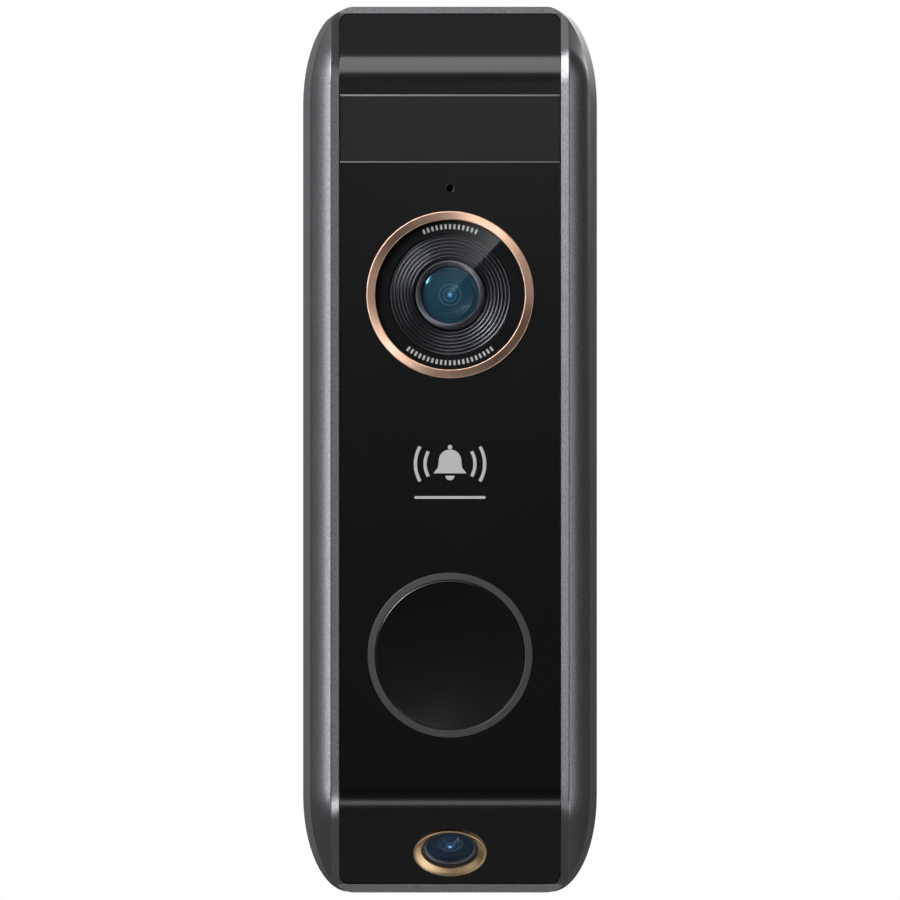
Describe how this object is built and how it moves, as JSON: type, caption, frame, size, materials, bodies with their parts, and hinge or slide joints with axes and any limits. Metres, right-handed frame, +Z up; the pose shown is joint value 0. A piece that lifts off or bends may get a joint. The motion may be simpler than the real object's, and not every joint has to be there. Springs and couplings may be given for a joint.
{
  "type": "video doorbell",
  "caption": "Tall battery video doorbell with an upper and a lower camera, a motion window and a ring-lit push button, on a hook-and-catch wall bracket.",
  "frame": {"origin": "centre of the wall bracket's back face, midway between its two screw holes, on the wall plane", "axes": "+Y into the wall, so the doorbell faces -Y; +Z up; +X to the visitor's right"},
  "size_m": [0.0552, 0.028, 0.166],
  "materials": {
    "frame_coat": "satin gunmetal metallic coating",
    "housing_plastic": "fine-textured black moulded plastic",
    "gasket_rubber": "matt black silicone",
    "screw_steel": "zinc-plated steel",
    "panel_gloss": "polished piano black",
    "window_film": "dark infrared-passing polyethylene",
    "lens_milky": "milky moulded polyethylene",
    "can_metal": "drawn and plated metal can",
    "boot_rubber": "matt black silicone",
    "copper_ring": "rose-gold anodised, satin",
    "cover_glass": "clear hard-coated",
    "black_print": "black screen print",
    "baffle_black": "matt black moulded, ribbed",
    "barrel_metal": "dark anodised",
    "lens_glass": "coated optical glass",
    "chip_black": "epoxy moulding compound",
    "board_green": "green solder mask on glass fibre",
    "champagne_ring": "champagne anodised, satin",
    "flex_amber": "amber polyimide ribbon",
    "button_gloss": "polished piano black, dished",
    "light_guide": "smoked translucent light guide",
    "silicone": "translucent grey silicone",
    "switch_black": "black moulded switch body",
    "lamp_white": "white lamp package",
    "antenna_copper": "stamped and gold-flashed strip",
    "sync_plastic": "dark grey moulded plastic",
    "cell_foil": "blue shrink film over a metal can",
    "lead_red": "red insulated wire",
    "lead_white": "white insulated wire",
    "speaker_frame": "black moulded frame",
    "speaker_film": "grey polymer film",
    "mesh_black": "black woven dust mesh",
    "flap_rubber": "matt black silicone",
    "clamp_steel": "zinc-plated steel",
    "terminal_brass": "nickel-washed brass",
    "label_grey": "silver-grey printed film, left blank",
    "bracket_plastic": "glass-filled black plastic",
    "catch_plastic": "acetal, slightly glossy"
  },
  "bodies": {
    "bracket": {"wall_bracket": "bracket_plastic", "release_catch": "catch_plastic"},
    "doorbell": {"front_frame": "frame_coat", "rear_housing": "housing_plastic", "housing_gasket": "gasket_rubber", "housing_screws": "screw_steel", "front_panel": "panel_gloss", "motion_window": "window_film", "motion_lens": "lens_milky", "motion_sensor": "can_metal", "microphone": "can_metal", "microphone_boot": "boot_rubber", "camera_ring": "copper_ring", "camera_cover_glass": "cover_glass", "camera_mask": "black_print", "camera_baffle": "baffle_black", "camera_barrel": "barrel_metal", "camera_front_lens": "lens_glass", "camera_iris": "baffle_black", "camera_inner_lens": "lens_glass", "camera_holder": "housing_plastic", "image_sensor": "chip_black", "camera_board": "board_green", "lower_camera_ring": "champagne_ring", "lower_camera_glass": "cover_glass", "lower_camera_barrel": "barrel_metal", "lower_camera_lens": "lens_glass", "lower_camera_inner_lens": "lens_glass", "lower_camera_board": "board_green", "lower_camera_flex": "flex_amber", "button_light_ring": "light_guide", "button_pad": "silicone", "button_switch": "switch_black", "button_lamps": "lamp_white", "main_board": "board_green", "board_screws": "screw_steel", "processor_shield": "can_metal", "board_chips": "chip_black", "antenna": "antenna_copper", "power_board": "board_green", "charging_port": "can_metal", "sync_switch": "switch_black", "battery_cells": "cell_foil", "battery_tray": "housing_plastic", "battery_leads": "lead_red", "speaker_driver": "speaker_frame", "speaker_cone": "speaker_film", "speaker_mesh": "mesh_black", "port_cover_anchor": "flap_rubber", "terminal_nuts": "terminal_brass", "terminal_leads": "lead_white", "info_label": "label_grey"},
    "ring_button": {"ring_button": "button_gloss", "switch_plunger": "switch_black"},
    "sync_button": {"sync_button": "sync_plastic"},
    "port_cover": {"port_cover": "flap_rubber"},
    "terminal_clamp_left": {"terminal_clamp_left": "clamp_steel"},
    "terminal_clamp_right": {"terminal_clamp_right": "clamp_steel"},
    "terminal_screw_left": {"terminal_screw_left": "terminal_brass"},
    "terminal_screw_right": {"terminal_screw_right": "terminal_brass"}
  },
  "joints": [
    {"name": "doorbell_swing", "type": "hinge", "parent": "bracket", "child": "doorbell", "pos_m": [0, -0.0032, 0.078], "axis": [-1, 0, 0], "range_deg": [0, 10], "deforming": ["release_catch"]},
    {"name": "ring_button_press", "type": "slide", "parent": "doorbell", "child": "ring_button", "axis": [0, 1, 0], "range_m": [0, 0.0005], "stiffness_N_per_m": 2400, "springref_m": -0.0002, "deforming": ["button_pad"]},
    {"name": "sync_button_press", "type": "slide", "parent": "doorbell", "child": "sync_button", "axis": [0, -1, 0], "range_m": [0, 0.0004], "stiffness_N_per_m": 1500, "springref_m": -0.0002},
    {"name": "port_cover_swing", "type": "hinge", "parent": "doorbell", "child": "port_cover", "pos_m": [0, -0.0033, 0.0582], "axis": [1, 0, 0], "range_deg": [0, 110]},
    {"name": "terminal_clamp_left_slide", "type": "slide", "parent": "doorbell", "child": "terminal_clamp_left", "axis": [0, 1, 0], "range_m": [0, 0.0012]},
    {"name": "terminal_clamp_right_slide", "type": "slide", "parent": "doorbell", "child": "terminal_clamp_right", "axis": [0, 1, 0], "range_m": [0, 0.0012]},
    {"name": "terminal_screw_left_turn", "type": "hinge", "parent": "terminal_clamp_left", "child": "terminal_screw_left", "pos_m": [-0.0065, -0.0031, 0.0095], "axis": [0, 1, 0], "range_deg": [0, 864]},
    {"name": "terminal_screw_right_turn", "type": "hinge", "parent": "terminal_clamp_right", "child": "terminal_screw_right", "pos_m": [0.0065, -0.0031, 0.0095], "axis": [0, 1, 0], "range_deg": [0, 864]}
  ],
  "couplings": [
    {"joint": "terminal_screw_left_turn", "follows": "terminal_clamp_left_slide", "rad_per_m": 12566},
    {"joint": "terminal_screw_right_turn", "follows": "terminal_clamp_right_slide", "rad_per_m": 12566}
  ]
}
